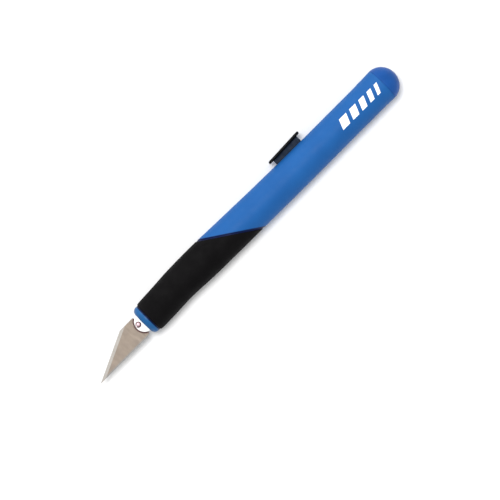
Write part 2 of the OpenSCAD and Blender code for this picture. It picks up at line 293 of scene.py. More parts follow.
# Column 1 is the radius and column 2 the centre. A cubic runs from station to station, and its
# slope at each one is the rise between the two neighbours.
def alongHandle(x, column):
    xs, ys = stations[:, 0], stations[:, column]
    here = np.arange(len(xs))
    before, after = np.maximum(here - 1, 0), np.minimum(here + 1, len(xs) - 1)
    slopes = (ys[after] - ys[before]) / (xs[after] - xs[before])
    i = np.clip(np.searchsorted(xs, x, side="right") - 1, 0, len(xs) - 2)
    step = xs[i + 1] - xs[i]
    t = np.clip((x - xs[i]) / step, 0, 1)
    return (ys[i] * (1 + 2 * t) * (1 - t) ** 2 + ys[i + 1] * t * t * (3 - 2 * t)
            + slopes[i] * step * t * (1 - t) ** 2 - slopes[i + 1] * step * t * t * (1 - t))


# Outside radius: the smooth stations, then a cone that flares to the cap.
def skinRadius(x):
    coneLength = seamX - handle["seamEdge"] - handle["flareStart"]
    flare = np.clip((x - handle["flareStart"]) / coneLength, 0, 1)
    return alongHandle(x, 1) + flare * (handle["flareRadius"] - stations[-1, 1])


# The oblique plane between grip and barrel: it leans back towards the belly.
borderLean = (handle["borderBelly"] - handle["borderTop"]) / handle["borderHeight"]
borderCentre = (handle["borderTop"] + handle["borderBelly"]) / 2
settleRounds = 8


def borderX(y):
    return borderCentre - (y - handle["borderMiddle"]) * borderLean


# A ring near the border, some depth under the skin and set back from the plane. The plane's x
# depends on y, and y on the radius at x, so a few rounds settle both.
def borderRing(angles, depth, setBack):
    x = np.full_like(angles, borderCentre)
    for _ in range(settleRounds):
        y = alongHandle(x, 2) + (alongHandle(x, 1) - depth) * np.cos(angles)
        x = borderX(y) + setBack
    return ring(x, alongHandle(x, 1) - depth, angles, alongHandle(x, 2))


# Where the border plane cuts the round core under the grip.
def coreBorderRing(angles):
    y = handle["coreCentre"] + handle["coreRadius"] * np.cos(angles)
    return ring(borderX(y), handle["coreRadius"], angles, handle["coreCentre"])


# Rows of skin between a border ring and a flat ring, closer together where ease is above 1.
def skinRows(startX, endX, angles, count, ease=1.0):
    rows = []
    for t in np.linspace(0, 1, count + 1)[1:]:
        x = startX + (endX - startX) * t ** ease + 0 * angles
        rows.append(ring(x, skinRadius(x), angles, alongHandle(x, 2)))
    return rows


# The neck's sizes come first, because the barrel's slot is cut to it.
neckShape = {"width": 1.6, "footHalf": 2, "footTop": 3.15, "footLow": 2.05, "footInset": 0.15,
             "postRadius": 0.9, "postLength": 1, "postEdge": 0.1, "grooveIn": 1.2, "grooveWidth": 0.35,
             "grooveStart": 1, "edge": 0.12, "sink": 0.05}
neckFront, neckBack = corner("button_neck", 0, 0), corner("button_neck", 1, 0)

# The step down to the grip stays in shade, and shows as a navy line.
leanLength = math.hypot(1, borderLean)
stepShade = {"point": (borderCentre * mm, handle["borderMiddle"] * mm, 0),
             "inward": (1 / leanLength, borderLean / leanLength, 0),
             "width": 0.78, "soft": 0.18, "colour": "#010f39"}
# ABS from a lightly etched mould: an even blue with a soft sheen and no hard highlight.
barrelLook = {"colour": "#1d5898", "shade": "#1b5493", "ior": 1.49, "gloss": 0.1, "cloudSize": 9,
              "roughness": (0.46, 0.56), "wearSize": 2.2, "grainSize": 0.35, "grainDepth": 0.006,
              "strips": [stepShade]}
barrelShape = {"slotEdge": 0.08, "grooveDepth": 0.12, "grooveWidth": 0.7, "grooveLip": 0.35,
               "restColumns": 40, "skinRows": 26, "slotRows": 14, "slotColumns": 3, "columnRadius": 6.4,
               "railLow": 3.2, "railHigh": 3.6, "railHalf": 4.15, "railFront": 63,
               "railAngle": math.radians(37), "frontEdge": 0.1, "pastSlot": 1,
               "slotGap": 0.3, "slotTravel": 27}
barrelPlastic = mouldedMaterial("blue ABS, moulded satin", barrelLook)


# A closed grid: rows run along the skin and back through the bore, columns go round. Columns near
# the top keep the same z on every row, so the button slot has straight walls.
def barrelShell():
    shape = barrelShape
    slotHalf = neckShape["width"] / 2 + shape["slotGap"]
    slotCols = shape["slotColumns"]
    topZ = np.concatenate([np.linspace(0, slotHalf, slotCols + 1), [slotHalf + shape["slotEdge"]]])
    slitZ = np.array([handle["bladeSlitHalf"], handle["bladeSlitHalf"] * 0.9, 0.0])

    def angles(radius):
        top, low = np.arcsin(topZ / radius), np.pi - np.arcsin(slitZ / radius)
        rest = top[-1] + (low[0] - top[-1]) * np.arange(1, shape["restColumns"]) / shape["restColumns"]
        half = np.concatenate([top, rest, low])
        return np.concatenate([half, fullTurn - half[-2:0:-1]])

    core, centre, skirt = handle["coreRadius"], handle["coreCentre"], handle["skirtRadius"]
    cols = len(angles(core))
    slitCols = np.arange(cols // 2 - 1, cols // 2 + 2)
    skirtEnd = noseLength + handle["skirtLength"]
    rows = [ring(noseLength, skirt - shape["frontEdge"], angles(skirt), centre),
            ring(noseLength + shape["frontEdge"], skirt, angles(skirt), centre),
            ring(skirtEnd, skirt, angles(skirt), centre), ring(skirtEnd, core, angles(core), centre)]
    rows.append(coreBorderRing(angles(core)))
    skinAngles = angles(shape["columnRadius"])
    # a narrow groove beside the grip: flat floor, steep wall, rounded lip
    deep, wide, lip = shape["grooveDepth"], shape["grooveWidth"], shape["grooveLip"]
    for depth, setBack in ((deep, 0), (deep, wide), (0.4 * lip, wide + 0.1 * lip),
                           (0.12 * lip, wide + 0.4 * lip), (0, wide + lip)):
        rows.append(borderRing(skinAngles, depth, setBack))

    # skin up to the slot, along it, and on to the flare
    slotX = np.array([neckFront - shape["slotGap"], neckBack + shape["slotTravel"] + shape["slotGap"]])
    slotRows = np.linspace(*slotX, shape["slotRows"])
    rows += skinRows(rows[-1][:, 0], slotX[0] - shape["slotEdge"], skinAngles, shape["skinRows"])
    outerFirst = len(rows)
    sides = [slotCols, cols - slotCols]
    for k, x in enumerate(slotRows):
        radius = skinRadius(x) + np.zeros(cols)
        # the edge of the slot sits a little lower than the skin, which rounds it
        atEnd = [*range(slotCols + 1), *range(cols - slotCols, cols)]
        lowered = sides if 0 < k < len(slotRows) - 1 else atEnd
        radius[lowered] -= 0.8 * shape["slotEdge"]
        rows.append(ring(x, radius, angles(skinRadius(x)), alongHandle(x, 2)))
    bevelX = seamX - handle["seamEdge"]
    for x in [slotX[1] + shape["slotEdge"], handle["flareStart"],
              *np.linspace(handle["flareStart"], bevelX, 5)[1:]]:
        rows.append(ring(x, skinRadius(x), angles(skinRadius(x))))
    rows.append(ring(seamX, skinRadius(bevelX) - handle["seamEdge"], angles(stations[-1, 1])))

    # back through the bore, with the two grooves that hold the lock rail
    bore = handle["rearBore"]
    boreAngles = angles(bore)
    first = int(np.argmax(boreAngles > shape["railAngle"]))

    def grooved(x):
        row = ring(x, bore, boreAngles)
        low, high, out = shape["railLow"], shape["railHigh"], shape["railHalf"]
        y = np.array([high, high, low, low])
        z = np.array([math.sqrt(bore ** 2 - high ** 2), out, out, math.sqrt(bore ** 2 - low ** 2)])
        right = np.arange(first, first + len(y))
        row[right, 1], row[right, 2] = y, z
        mirror = (cols - right) % cols
        row[mirror, 1], row[mirror, 2] = y, -z
        return row

    rows += [grooved(seamX), grooved(slotX[1] + shape["pastSlot"])]
    innerFirst = len(rows)
    rows += [grooved(x) for x in slotRows[::-1]]
    rows += [grooved(shape["railFront"]), ring(shape["railFront"], bore, boreAngles),
             ring(handle["boreStep"], bore, boreAngles)]

    # front bore, with the slit for the blade's spine
    for x in (handle["boreStep"], noseLength):
        row = ring(x, handle["frontBore"], angles(handle["frontBore"]), centre)
        row[slitCols, 1] = handle["bladeSlitLow"]
        row[slitCols, 2] = [handle["bladeSlitHalf"], 0, -handle["bladeSlitHalf"]]
        rows.append(row)
    points = np.array(rows)

    # leave out the quads over the slot, then join its outer and inner borders with a wall
    keep = np.ones((len(rows), cols), bool)
    over = np.r_[0:slotCols, cols - slotCols:cols]
    last = shape["slotRows"] - 1
    for start in (outerFirst, innerFirst):
        keep[np.ix_(range(start, start + last), over)] = False
    along, across = np.arange(last + 1), np.arange(slotCols, -slotCols - 1, -1)
    loopRow = np.concatenate([along, 0 * across + last, along[::-1], 0 * across])
    loopCol = np.concatenate([0 * along + slotCols, across, 0 * along - slotCols, across[::-1]])
    wall = np.stack([points[outerFirst + loopRow, loopCol % cols],
                     points[innerFirst + last - loopRow, loopCol % cols]])
    grids = [(points, gridQuads(len(rows), cols, wrapRows=True, keep=keep)),
             (wall, gridQuads(2, wall.shape[1]))]
    makePiece("barrelShell", grids, "handle", barrelPlastic, ["barrel"])


# A smoother ABS moulding: nearly black, with thin highlights on its ridges and edges.
thumbLook = {"colour": "#060607", "shade": "#040405", "ior": 1.53, "gloss": 0.07, "cloudSize": 4,
             "roughness": (0.34, 0.46), "wearSize": 1.2, "grainSize": 0.3, "grainDepth": 0.006}
thumbPlastic = mouldedMaterial("black ABS, moulded", thumbLook)
# Acetal is waxy: a dark blue grey with a dull shine.
neckLook = {"colour": "#0e2034", "shade": "#071b30", "ior": 1.48, "gloss": 0.08, "cloudSize": 4,
            "roughness": (0.36, 0.5), "wearSize": 1.5, "grainSize": 0.3, "grainDepth": 0.006}
neckPlastic = mouldedMaterial("dark grey acetal, moulded", neckLook)
plateShape = {"length": 15, "width": 6, "thickness": 1, "corner": 1.2, "tilt": math.radians(2.4),
              "middleX": sum(corner("thumb_plate", k, 0) for k in (0, 1)) / 2,
              "middleY": sum(corner("thumb_plate", k, 1) for k in (0, 1)) / 2,
              "endRound": 0.45, "ridgePitch": 1.05, "ridges": 9, "grooveDepth": 0.2,
              "ridgeFullness": 0.7, "rimShare": 0.12}
buttonX = (neckFront + neckBack) / 2


# Turns places along and above the tilted plate into the knife's own.
def onPlate(along, up, z):
    tilt = plateShape["tilt"]
    x = plateShape["middleX"] + along * math.cos(tilt) - up * math.sin(tilt)
    return np.stack([x, plateShape["middleY"] + along * math.sin(tilt) + up * math.cos(tilt), z], -1)


# A slab whose section is flat with half-round edges. Its half width follows the rounded corners,
# its thickness runs out in a quarter ellipse at both ends, and grooves leave grip ridges on top.
def thumbPlate():
    shape = plateShape
    half, rounding, thick = shape["length"] / 2, shape["corner"], shape["thickness"] / 2
    ends = np.sin(np.linspace(0, np.pi / 2, 7)) * shape["endRound"]
    middle = np.linspace(-half + shape["endRound"], half - shape["endRound"], 181)
    u = np.concatenate([-half + shape["endRound"] - ends[::-1], middle[1:-1],
                        half - shape["endRound"] + ends])
    past = np.maximum(np.abs(u) - (half - rounding), 0)
    halfZ = shape["width"] / 2 - rounding + np.sqrt(np.maximum(rounding ** 2 - past ** 2, 0))
    endPast = np.clip((np.abs(u) - (half - shape["endRound"])) / shape["endRound"], 0, 1)
    halfT = thick * np.sqrt(1 - endPast ** 2)
    # round the section: flat top, one edge, flat underside, the other edge
    turn = np.linspace(np.pi / 2, -np.pi / 2, 9)
    flat = np.linspace(-1, 1, 21)
    flatShare = np.concatenate([flat, np.ones(9), flat[::-1], -np.ones(9)])
    edgeZ = np.concatenate([0 * flat, np.cos(turn), 0 * flat, -np.cos(turn)])
    edgeUp = np.concatenate([0 * flat + 1, np.sin(turn), 0 * flat - 1, -np.sin(turn)])
    flatHalf = (halfZ - thick)[:, None]
    z = flatShare * flatHalf + edgeZ * halfT[:, None]
    up = edgeUp * halfT[:, None]
    wave = np.clip(0.5 - 0.5 * np.cos(fullTurn * u / shape["ridgePitch"]), 0, 1) ** shape["ridgeFullness"]
    inside = np.abs(u) < shape["ridges"] / 2 * shape["ridgePitch"]
    across = np.clip((1 - np.abs(z) / (flatHalf + 1e-6)) / shape["rimShare"], 0, 1)
    up = up - (edgeUp == 1) * across * (wave * inside)[:, None] * shape["grooveDepth"]
    points = onPlate(u[:, None] + 0 * z, up, z)
    makePiece("thumbPlate", [(points, gridQuads(len(u), len(edgeZ)))], "button",
              thumbPlastic, ["thumb_plate"], sharpAngle=50)


# Outlines of the same number of points stacked along Y: post, foot and neck. Two narrow grooves
# run up each side of the neck near its ends.
def buttonNeck():
    shape = neckShape
    halfX = (neckBack - neckFront) / 2
    at, wide, edge = halfX - shape["grooveIn"], shape["grooveWidth"] / 2, shape["edge"]
    side = np.array([-halfX + edge, -at - wide, -at - wide, -at + wide, -at + wide, -halfX / 3,
                     halfX / 3, at - wide, at - wide, at + wide, at + wide, halfX - edge])
    cut = np.array([0, 0, 1, 1, 0, 0, 0, 0, 1, 1, 0, 0]) * wide

    def outline(y, scaleX, halfZ, grooves):
        x = np.concatenate([side, [halfX, halfX], side[::-1], [-halfX, -halfX]]) * scaleX
        lip = halfZ - edge
        side1, side2 = halfZ - cut * grooves, cut[::-1] * grooves - halfZ
        z = np.concatenate([side1, [lip, -lip], side2, [-lip, lip]])
        return np.stack([buttonX + x, y + 0 * x, z], -1)

    halfZ, low, top = shape["width"] / 2, shape["footLow"], shape["footTop"]
    footScale = 1 - shape["footInset"] / halfX
    foot = outline(low, footScale, shape["footHalf"], 0)
    around = np.arctan2(foot[:, 2], foot[:, 0] - buttonX)
    end, post, postEdge = low - shape["postLength"], shape["postRadius"], shape["postEdge"]
    rows = [np.stack([buttonX + r * np.cos(around), y + 0 * around, r * np.sin(around)], -1)
            for y, r in ((end, 0), (end, post - postEdge), (end + postEdge, post), (low, post))]
    start = top + shape["grooveStart"]
    rows += [foot, outline(top, footScale, shape["footHalf"], 0), outline(top, 1, halfZ, 0),
             outline(start, 1, halfZ, 0), outline(start, 1, halfZ, 1)]
    head = outline(0, 1, halfZ, 1)
    head[:, 1] = (plateShape["middleY"] - plateShape["thickness"] / 2 + shape["sink"]
                  + (head[:, 0] - plateShape["middleX"]) * math.tan(plateShape["tilt"]))
    rows += [head, head * 0 + head.mean(0)]
    makePiece("buttonNeck", [(np.array(rows), gridQuads(len(rows), len(around)))], "button",
              neckPlastic, ["button_neck"])


print("barrel and button")
barrelShell()
thumbPlate()
buttonNeck()


# Thermoplastic rubber: takes light evenly with no highlight, and its grain breaks up the black.
gripLook = {"colour": "#0b0a0b", "shade": "#080708", "ior": 1.52, "gloss": 0.06, "cloudSize": 6,
            "roughness": (0.66, 0.78), "wearSize": 2.5, "grainSize": 0.5, "grainDepth": 0.02}
gripRubber = mouldedMaterial("black TPE rubber, fine grain", gripLook)
gripShape = {"frontGap": 0.08, "frontRound": 0.18, "rearRound": 0.15, "columns": 128, "skinRows": 60,
             "rowEase": 1.3}
roundSteps = np.radians([0, 22, 45, 68, 90])


# A closed grid: from the front face over the rounded edge, along the skin to the oblique rear
# edge, down the oblique face and back along the bore.
def gripSleeve():
    shape = gripShape
    angles = np.arange(shape["columns"]) * fullTurn / shape["columns"]
    core, centre = handle["coreRadius"], handle["coreCentre"]
    front = noseLength + shape["frontGap"]
    rows = [ring(front, core, angles, centre)]
    for turn in roundSteps:
        x = front + shape["frontRound"] * (1 - math.cos(turn))
        radius = alongHandle(x, 1) - shape["frontRound"] * (1 - math.sin(turn))
        rows.append(ring(x, radius, angles, alongHandle(x, 2)))
    rearEdge = borderRing(angles, 0, -shape["rearRound"])
    rows += skinRows(front + shape["frontRound"], rearEdge[:, 0], angles, shape["skinRows"],
                     shape["rowEase"])
    for turn in roundSteps[-2::-1]:
        rows.append(borderRing(angles, shape["rearRound"] * (1 - math.sin(turn)),
                               -shape["rearRound"] * (1 - math.cos(turn))))
    rows.append(coreBorderRing(angles))
    makePiece("gripSleeve", [(np.array(rows), gridQuads(len(rows), len(angles), wrapRows=True))],
              "handle", gripRubber, ["front_grip"])


# The same ABS, but smoother from the mould, so it shines more. It goes dark at its seam to the grip.
noseShade = {"point": (noseLength * mm, 0, 0), "inward": (-1, 0, 0), "width": 0.5, "soft": 0.14,
             "colour": "#010f36"}
noseLook = {"colour": "#1e568b", "shade": "#1a5081", "ior": 1.49, "gloss": 0.12, "cloudSize": 3,
            "roughness": (0.32, 0.42), "wearSize": 1.2, "grainSize": 0.3, "grainDepth": 0.004,
            "strips": [noseShade]}
nosePlastic = mouldedMaterial("blue ABS, moulded ring", noseLook)
noseShape = {"radius": 5.68, "rounding": 1.8, "jawGap": 0.12, "mouthEdge": 0.12, "rearRound": 0.14,
             "degreesPerColumn": 3, "faceRows": 12}


# Distance from the ring's axis to the mouth's edge: the further of the jaw opening and the
# blade's slit, each a rectangle, at every angle.
def mouthRadius(angles, grow=0.0):
    jawHalfY = (corner("jaw_plate", 1, 1) - corner("jaw_plate", 0, 1)) / 2 + noseShape["jawGap"] + grow
    jawHalfZ = -corner("jaw_plate", 0, 2) + noseShape["jawGap"] + grow
    upY = handle["bladeSlitHigh"] - handle["coreCentre"] + grow
    downY = handle["coreCentre"] - handle["bladeSlitLow"] + grow
    cos, sin = np.maximum(np.abs(np.cos(angles)), 1e-9), np.maximum(np.abs(np.sin(angles)), 1e-9)
    jaw = np.minimum(jawHalfY / cos, jawHalfZ / sin)
    slitY = np.where(np.cos(angles) > 0, upY, downY)
    slit = np.minimum(slitY / cos, (handle["bladeSlitHalf"] + grow) / sin)
    return np.maximum(jaw, slit), (jawHalfY, jawHalfZ, upY, downY)


# A closed grid: out over the rounded face from the mouth to the rim, then back and in along the
# skirt. The face's depth follows a quarter circle near the rim.
def noseRing():
    shape = noseShape
    _, (jawHalfY, jawHalfZ, upY, downY) = mouthRadius(np.array([0.0]))
    slit = handle["bladeSlitHalf"]
    # columns stand where the mouth has its corners
    breaks = np.array([math.atan2(slit, upY), math.atan2(slit, jawHalfY), math.atan2(jawHalfZ, jawHalfY),
                       np.pi - math.atan2(jawHalfZ, jawHalfY), np.pi - math.atan2(slit, jawHalfY),
                       np.pi - math.atan2(slit, downY)])
    even = np.radians(np.arange(0, 181, shape["degreesPerColumn"]))
    half = np.unique(np.concatenate([even, breaks]))
    angles = np.concatenate([half, fullTurn - half[-2:0:-1]])
    flat = shape["radius"] - shape["rounding"]

    def face(radius):
        past = np.clip((radius - flat) / shape["rounding"], 0, 1)
        return shape["rounding"] * (1 - np.sqrt(1 - past ** 2))

    centre = handle["coreCentre"]
    mouth, rim = mouthRadius(angles)[0], mouthRadius(angles, shape["mouthEdge"])[0]
    rows = [ring(noseLength, mouth, angles, centre),
            ring(face(mouth) + shape["mouthEdge"], mouth, angles, centre)]
    for t in np.sin(np.linspace(0, np.pi / 2, shape["faceRows"])):
        radius = rim + (shape["radius"] - rim) * t
        rows.append(ring(face(radius), radius, angles, centre))
    skirtEnd = noseLength + handle["skirtLength"]
    back = shape["rearRound"]
    for x, radius in ((noseLength - back, shape["radius"]),
                      (noseLength - 0.3 * back, shape["radius"] - 0.3 * back),
                      (noseLength, shape["radius"] - back),
                      (noseLength, handle["coreRadius"]), (skirtEnd, handle["coreRadius"]),
                      (skirtEnd, handle["skirtRadius"]), (noseLength, handle["skirtRadius"])):
        rows.append(ring(x, radius, angles, centre))
    makePiece("noseRing", [(np.array(rows), gridQuads(len(rows), len(angles), wrapRows=True))],
              "handle", nosePlastic, ["nose_ring"])


# The same ABS in a deeper blue, a little glossier than the barrel.
capLook = {"colour": "#194e95", "shade": "#15488b", "ior": 1.49, "gloss": 0.12, "cloudSize": 4,
           "roughness": (0.34, 0.44), "wearSize": 1.5, "grainSize": 0.3, "grainDepth": 0.005}
capPlastic = mouldedMaterial("darker blue ABS, moulded cap", capLook)
capShape = {"spigotRadius": 4.66, "spigotBore": 3.7, "domeBack": 0.2, "edge": 0.1}


# A profile turned about the axis: blind bore, spigot, flat face to the barrel, then a quarter
# ellipse over the dome to the pole.
def endCap():
    shape, bevel = capShape, handle["seamEdge"]
    front, end = corner("end_cap", 0, 0), corner("end_cap", 1, 0)
    bore, spigot, edge = shape["spigotBore"], shape["spigotRadius"], shape["edge"]
    floor = seamX + (end - seamX) / 2
    longHalf = end - seamX + shape["domeBack"]
    turn = np.linspace(math.asin((shape["domeBack"] + bevel) / longHalf), np.pi / 2, 22)
    dome = np.stack([seamX + longHalf * np.sin(turn) - shape["domeBack"],
                     handle["flareRadius"] * np.cos(turn)], -1)
    profile = [(floor, 0), (floor, bore - edge), (floor - edge, bore), (front + edge, bore),
               (front, bore + edge), (front, spigot - edge), (front + edge, spigot), (seamX, spigot),
               (seamX, handle["flareRadius"] - 1.5 * bevel), *dome.tolist()]
    points = turned(profile)
    makePiece("endCap", [(points, gridQuads(*points.shape[:2]))], "cap", capPlastic,
              ["end_cap"])


print("grip, nose ring and cap")
gripSleeve()
noseRing()
endCap()


pegPlace = [sum(corner("blade_peg", k, a) for k in (0, 1)) / 2 for a in (0, 1)]
pegRadius = (corner("blade_peg", 1, 0) - corner("blade_peg", 0, 0)) / 2
jawRadius = (corner("jaw_plate", 1, 1) - corner("jaw_plate", 0, 1)) / 2
# Painted shade: a dark line on the blade round the end of the jaw stands for the jaw's contact
# shadow, and a dark ring in the holder's hole round the peg for the shade in that hole.
jawShadowLine = {"point": ((corner("jaw_plate", 0, 0) + jawRadius) * mm,
                     (corner("jaw_plate", 0, 1) + jawRadius) * mm, 0),
           "radius": jawRadius + 0.15, "width": 0.42, "soft": 0.14, "colour": "#453433"}
# Painted shade: the dark ring round the peg, in the holder's hole.
pegHoleShade = {"point": (pegPlace[0] * mm, pegPlace[1] * mm, 0), "radius": 1.0, "width": 0.12, "soft": 0.05,
           "colour": "#8f7579"}
# White acetal lets light a little way in, which softens its own shadows.
holderLook = {"colour": "#fbfbf9", "shade": "#f2f2f0", "ior": 1.48, "gloss": 0.5, "cloudSize": 3,
              "roughness": (0.22, 0.32), "wearSize": 1.0, "grainSize": 0.25, "grainDepth": 0.002,
              "extra": {"Subsurface Weight": 0.15, "Subsurface Radius": (0.0012, 0.0012, 0.0012),
                        "Subsurface Scale": 1.0},
              "strips": [pegHoleShade]}
holderPlastic = mouldedMaterial("white acetal, moulded", holderLook)
jawShape = {"edgeRound": 0.5, "holeEdge": 0.15, "holderHole": 1.0, "bladeHalf": 0.25,
            "barHalf": 2.5, "barEnd": 63.8, "barEdge": 0.4, "seatStart": 14.47, "seatEdge": 0.15,
            "tongueHalf": 1.5, "tongueLow": -2.3, "tongueHigh": 0.6, "tongueIn": 1, "tongueEdge": 0.3,
            "overlap": 0.1, "barIn": 0.5, "barEndEdge": 0.1}


# Outline of a jaw seen from the side, drawn in by inset: half circle at the nose, straight sides.
def jawOutline(inset, endX):
    front, low, high = (corner("jaw_plate", 0, 0), corner("jaw_plate", 0, 1), corner("jaw_plate", 1, 1))
    half, middle = (high - low) / 2, (high + low) / 2
    turn = np.linspace(np.pi / 2, 3 * np.pi / 2, 49)
    straight = np.linspace(0, 1, 14)[1:]
    arcX, arcY = front + half + (half - inset) * np.cos(turn), middle + (half - inset) * np.sin(turn)
    length = endX - inset - front - half
    lineX = front + half + length * straight
    side = (half - inset) * np.linspace(-1, 1, 9)[1:-1]
    x = np.concatenate([arcX, lineX, lineX[-1] + 0 * side, lineX[::-1]])
    y = np.concatenate([arcY, middle - half + inset + 0 * lineX, middle + side,
                        middle + half - inset + 0 * lineX])
    return x, y


# One jaw: rings of points from the peg hole out over the flat face, round the edge, and back
# along the face that lies on the blade.
def jawGrid(side, holeRadius, endX):
    shape = jawShape
    inner, outer, rounding = shape["bladeHalf"], -corner("jaw_plate", 0, 2), shape["edgeRound"]
    x, y = jawOutline(0, endX)
    around = np.arctan2(y - pegPlace[1], x - pegPlace[0])

    def hole(radius, z):
        return np.stack([pegPlace[0] + radius * np.cos(around), pegPlace[1] + radius * np.sin(around),
                         side * z + 0 * around], -1)

    def edge(inset, z):
        x, y = jawOutline(inset, endX)
        return np.stack([x, y, side * z + 0 * x], -1)

    rows = [hole(holeRadius, inner), hole(holeRadius, outer - shape["holeEdge"]),
            hole(holeRadius + shape["holeEdge"], outer)]
    flatRim = edge(rounding, outer)
    rows += [rows[-1] + (flatRim - rows[-1]) * t for t in (0.35, 0.7)]
    rows += [edge(rounding * (1 - math.sin(turn)), outer - rounding * (1 - math.cos(turn)))
             for turn in np.radians([0, 18, 36, 54, 72, 90])]
    rows.append(edge(0, inner))
    points = np.array(rows)
    return points, gridQuads(len(rows), len(around), wrapRows=True)


# A bar along X with rounded long edges and closed, slightly rounded ends.
def roundedBar(x0, x1, low, high, rounding):
    turn = np.radians(np.arange(0, 360, 15))
    signY, signZ = np.sign(np.cos(turn + 0.01)), np.sign(np.sin(turn + 0.01))
    middle, half = (np.array(high) + np.array(low)) / 2, (np.array(high) - np.array(low)) / 2

    def section(x, inset):
        y = middle[0] + signY * (half[0] - rounding) + (rounding - inset) * np.cos(turn)
        z = middle[1] + signZ * (half[1] - rounding) + (rounding - inset) * np.sin(turn)
        return np.stack([x + 0 * y, y, z], -1)

    centre = np.array([0, *middle])
    edge = jawShape["barEndEdge"]
    first, last = section(x0, edge), section(x1, edge)
    rows = [first * 0 + centre + [x0, 0, 0], first, section(x0 + edge, 0),
            section(x1 - edge, 0), last, last * 0 + centre + [x1, 0, 0]]
    return np.array(rows), gridQuads(len(rows), len(turn))


# The jaw, the stop behind the blade's shank, the bar through the handle and the tongue that goes
# into the slide block. Each overlaps the one before it.
def bladeHolder():
    shape, halfZ, over = jawShape, -corner("jaw_plate", 0, 2), jawShape["overlap"]
    jawEnd, end = corner("jaw_plate", 1, 0) + over, corner("blade_holder", 1, 0)
    middle = handle["coreCentre"]
    grids = [jawGrid(1, shape["holderHole"], jawEnd),
             roundedBar(shape["seatStart"], jawEnd, (middle - jawRadius, -shape["bladeHalf"]),
                        (middle + jawRadius, shape["bladeHalf"] + over), shape["seatEdge"]),
             roundedBar(jawEnd - shape["barIn"], shape["barEnd"], (middle - shape["barHalf"], -halfZ),
                        (middle + shape["barHalf"], halfZ), shape["barEdge"]),
             roundedBar(shape["barEnd"] - shape["tongueIn"], end,
                        (shape["tongueLow"], -shape["tongueHalf"]),
                        (shape["tongueHigh"], shape["tongueHalf"]), shape["tongueEdge"])]
    makePiece("holderJaw", grids, "carriage", holderPlastic, ["blade_holder"])
    makePiece("jawPlate", [jawGrid(-1, pegRadius, corner("jaw_plate", 1, 0))], "carriage",
              holderPlastic, ["jaw_plate"])


# Turned steel under nickel plate: a lighter disc on its end inside a darker rim, which is painted shade.
pegDiscInShadedRim = {"point": (pegPlace[0] * mm, pegPlace[1] * mm, 0), "radius": 0, "width": 0.66, "soft": 0.08,
             "colour": "#8d767b"}
pegLook = {"colour": "#72565a", "shade": "#654d50", "layTurn": 0.0, "layScale": (1, 1, 1), "lineSize": 0.3,
           "cloudSize": 0.8, "roughness": (0.3, 0.42), "lineDepth": 0.002,
           "strips": [pegDiscInShadedRim]}
pegSteel = groundSteel("nickel plated steel, turned", pegLook)
pegShape = {"dome": 0.12, "edge": 0.08, "columns": 48}


# A profile turned about the peg's own axis, with a low dome on its end.
def bladePeg():
    low, high = corner("blade_peg", 0, 2), corner("blade_peg", 1, 2)
    turn = np.linspace(0, np.pi / 2, 9)
    dome = pegShape["dome"]
    radii = np.concatenate([[0, pegRadius - pegShape["edge"], pegRadius], pegRadius * np.cos(turn)])
    heights = np.concatenate([[low, low, low + pegShape["edge"]], high - dome + dome * np.sin(turn)])
    around = np.arange(pegShape["columns"]) * fullTurn / pegShape["columns"]
    points = np.stack([pegPlace[0] + radii[:, None] * np.cos(around),
                       pegPlace[1] + radii[:, None] * np.sin(around), heights[:, None] + 0 * around], -1)
    makePiece("pegPin", [(points, gridQuads(*points.shape[:2]))], "carriage", pegSteel,
              ["blade_peg"])


print("holder and peg")
bladeHolder()
bladePeg()


# Pad-printed ink lies flat and white, a shade thinner here and there.
inkLook = {"colour": "#f6f8fb", "shade": "#edf1f7", "ior": 1.5, "cloudSize": 1.5,
           "roughness": (0.4, 0.55), "wearSize": 0.6, "grainSize": 0.2, "grainDepth": 0.002}
whiteInk = mouldedMaterial("white pad-printed ink", inkLook)
printShape = {"start": 96.8, "widths": [3.4, 2.9, 2.4, 1.9, 1.4], "gap": 1.6, "slant": 1.5,
              "low": -1.7, "high": 1.95, "proud": 0.015, "sunk": 0.02}


# Slanted bars that follow the barrel: x shifts with height, and z comes from the skin's circle.
def printedBars():
    shape = printShape
    height = np.linspace(shape["low"], shape["high"], 13)[:, None]
    grids, start = [], shape["start"]
    lift = (height - shape["low"]) / (shape["high"] - shape["low"])
    for width in shape["widths"]:
        x = start + width * np.linspace(0, 1, 5) + shape["slant"] * lift
        y = height + 0 * x

        def sheet(offset):
            return np.stack([x, y, np.sqrt((skinRadius(x) + offset) ** 2 - y ** 2)], -1)

        top, under = sheet(shape["proud"]), sheet(-shape["sunk"])
        rows, cols = x.shape
        border = np.concatenate([np.arange(cols), np.arange(1, rows) * cols + cols - 1,
                                 (rows - 1) * cols + np.arange(cols - 2, -1, -1),
                                 np.arange(rows - 2, 0, -1) * cols])
        flat = gridQuads(rows, cols, wrapCols=False)
        rim = np.stack([top.reshape(-1, 3)[border], under.reshape(-1, 3)[border]])
        grids += [(top, flat), (under, flat), (rim, gridQuads(2, len(border)))]
        start += width + shape["gap"]
    makePiece("printedBars", grids, "handle", whiteInk)


print("printed bars")
printedBars()


# Carbon steel ground along its length: a warm streaked grey. The ground edge is painted brighter, partly
# for its finer grind and partly as a painted reflection of the light, and a painted shade runs along the
# spine.
edgeAngle = math.radians(25.1)
groundEdgeSheen = {"point": (corner("blade", 0, 0) * mm, corner("blade", 0, 1) * mm, 0),
              "inward": (math.sin(edgeAngle), -math.cos(edgeAngle), 0), "width": 1.1, "soft": 0.12,
              "colour": "#8f8b86"}
# Painted shade along the spine.
spineShade = {"point": (0, corner("blade", 0, 1) * mm, 0), "inward": (0, 1, 0), "width": 0.5, "soft": 0.3,
             "colour": "#6a6a69"}
bladeLook = {"colour": "#756b61", "shade": "#6b625a", "strips": [spineShade, groundEdgeSheen, jawShadowLine],
             "layTurn": 0.0, "layScale": (1.0, 0.06, 1.0), "lineSize": 0.25, "cloudSize": 2.5,
             "roughness": (0.42, 0.55), "lineDepth": 0.003}
bladeSteel = groundSteel("carbon steel, ground", bladeLook)
